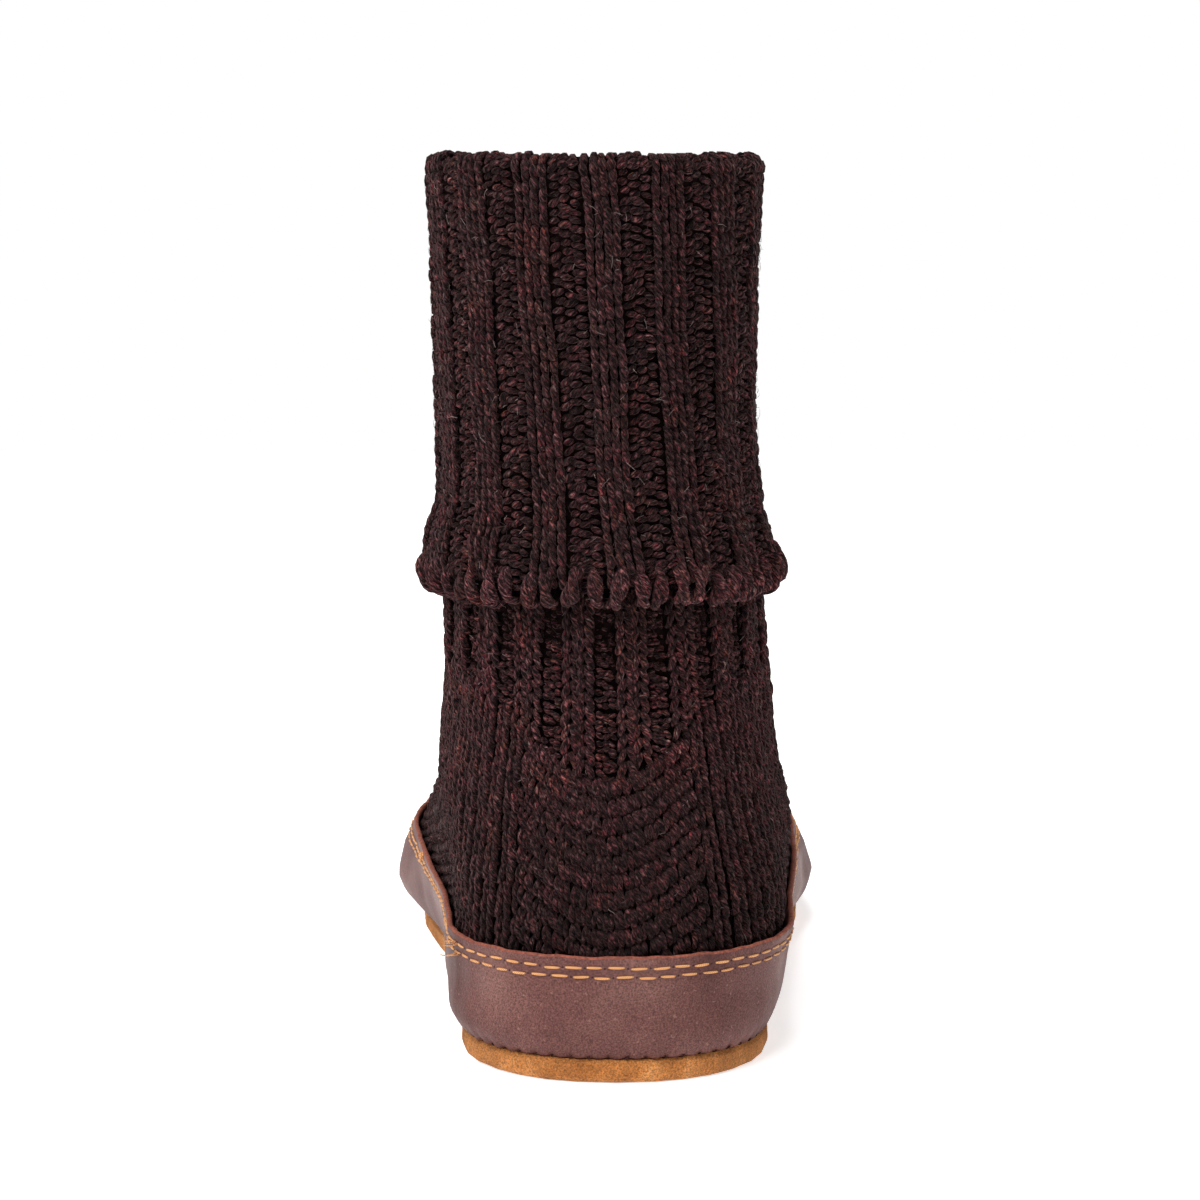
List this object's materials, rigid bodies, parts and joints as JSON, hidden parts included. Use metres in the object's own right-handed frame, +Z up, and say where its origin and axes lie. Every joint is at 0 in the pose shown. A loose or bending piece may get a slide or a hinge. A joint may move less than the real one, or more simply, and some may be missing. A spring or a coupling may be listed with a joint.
{
  "type": "slipper sock",
  "caption": "Knitted slipper sock with a turned-down ribbed cuff, a stitched leather side wall, a suede sole and a padded insole.",
  "frame": {"origin": "on the floor, under the middle of the shoe's bounding box", "axes": "+X towards the inner side of the foot, +Y from heel to toe, +Z up from the floor"},
  "size_m": [0.112, 0.272, 0.206],
  "materials": {
    "sock_upper": "chunky heathered wool knit, matt",
    "side_wall": "soft smooth leather with a low sheen, cut edge left raw",
    "outsole": "napped suede, matt",
    "insole": "wool felt, matt"
  },
  "bodies": {
    "root": {"sock_upper": "sock_upper", "side_wall": "side_wall", "outsole": "outsole", "insole": "insole"}
  },
  "joints": []
}
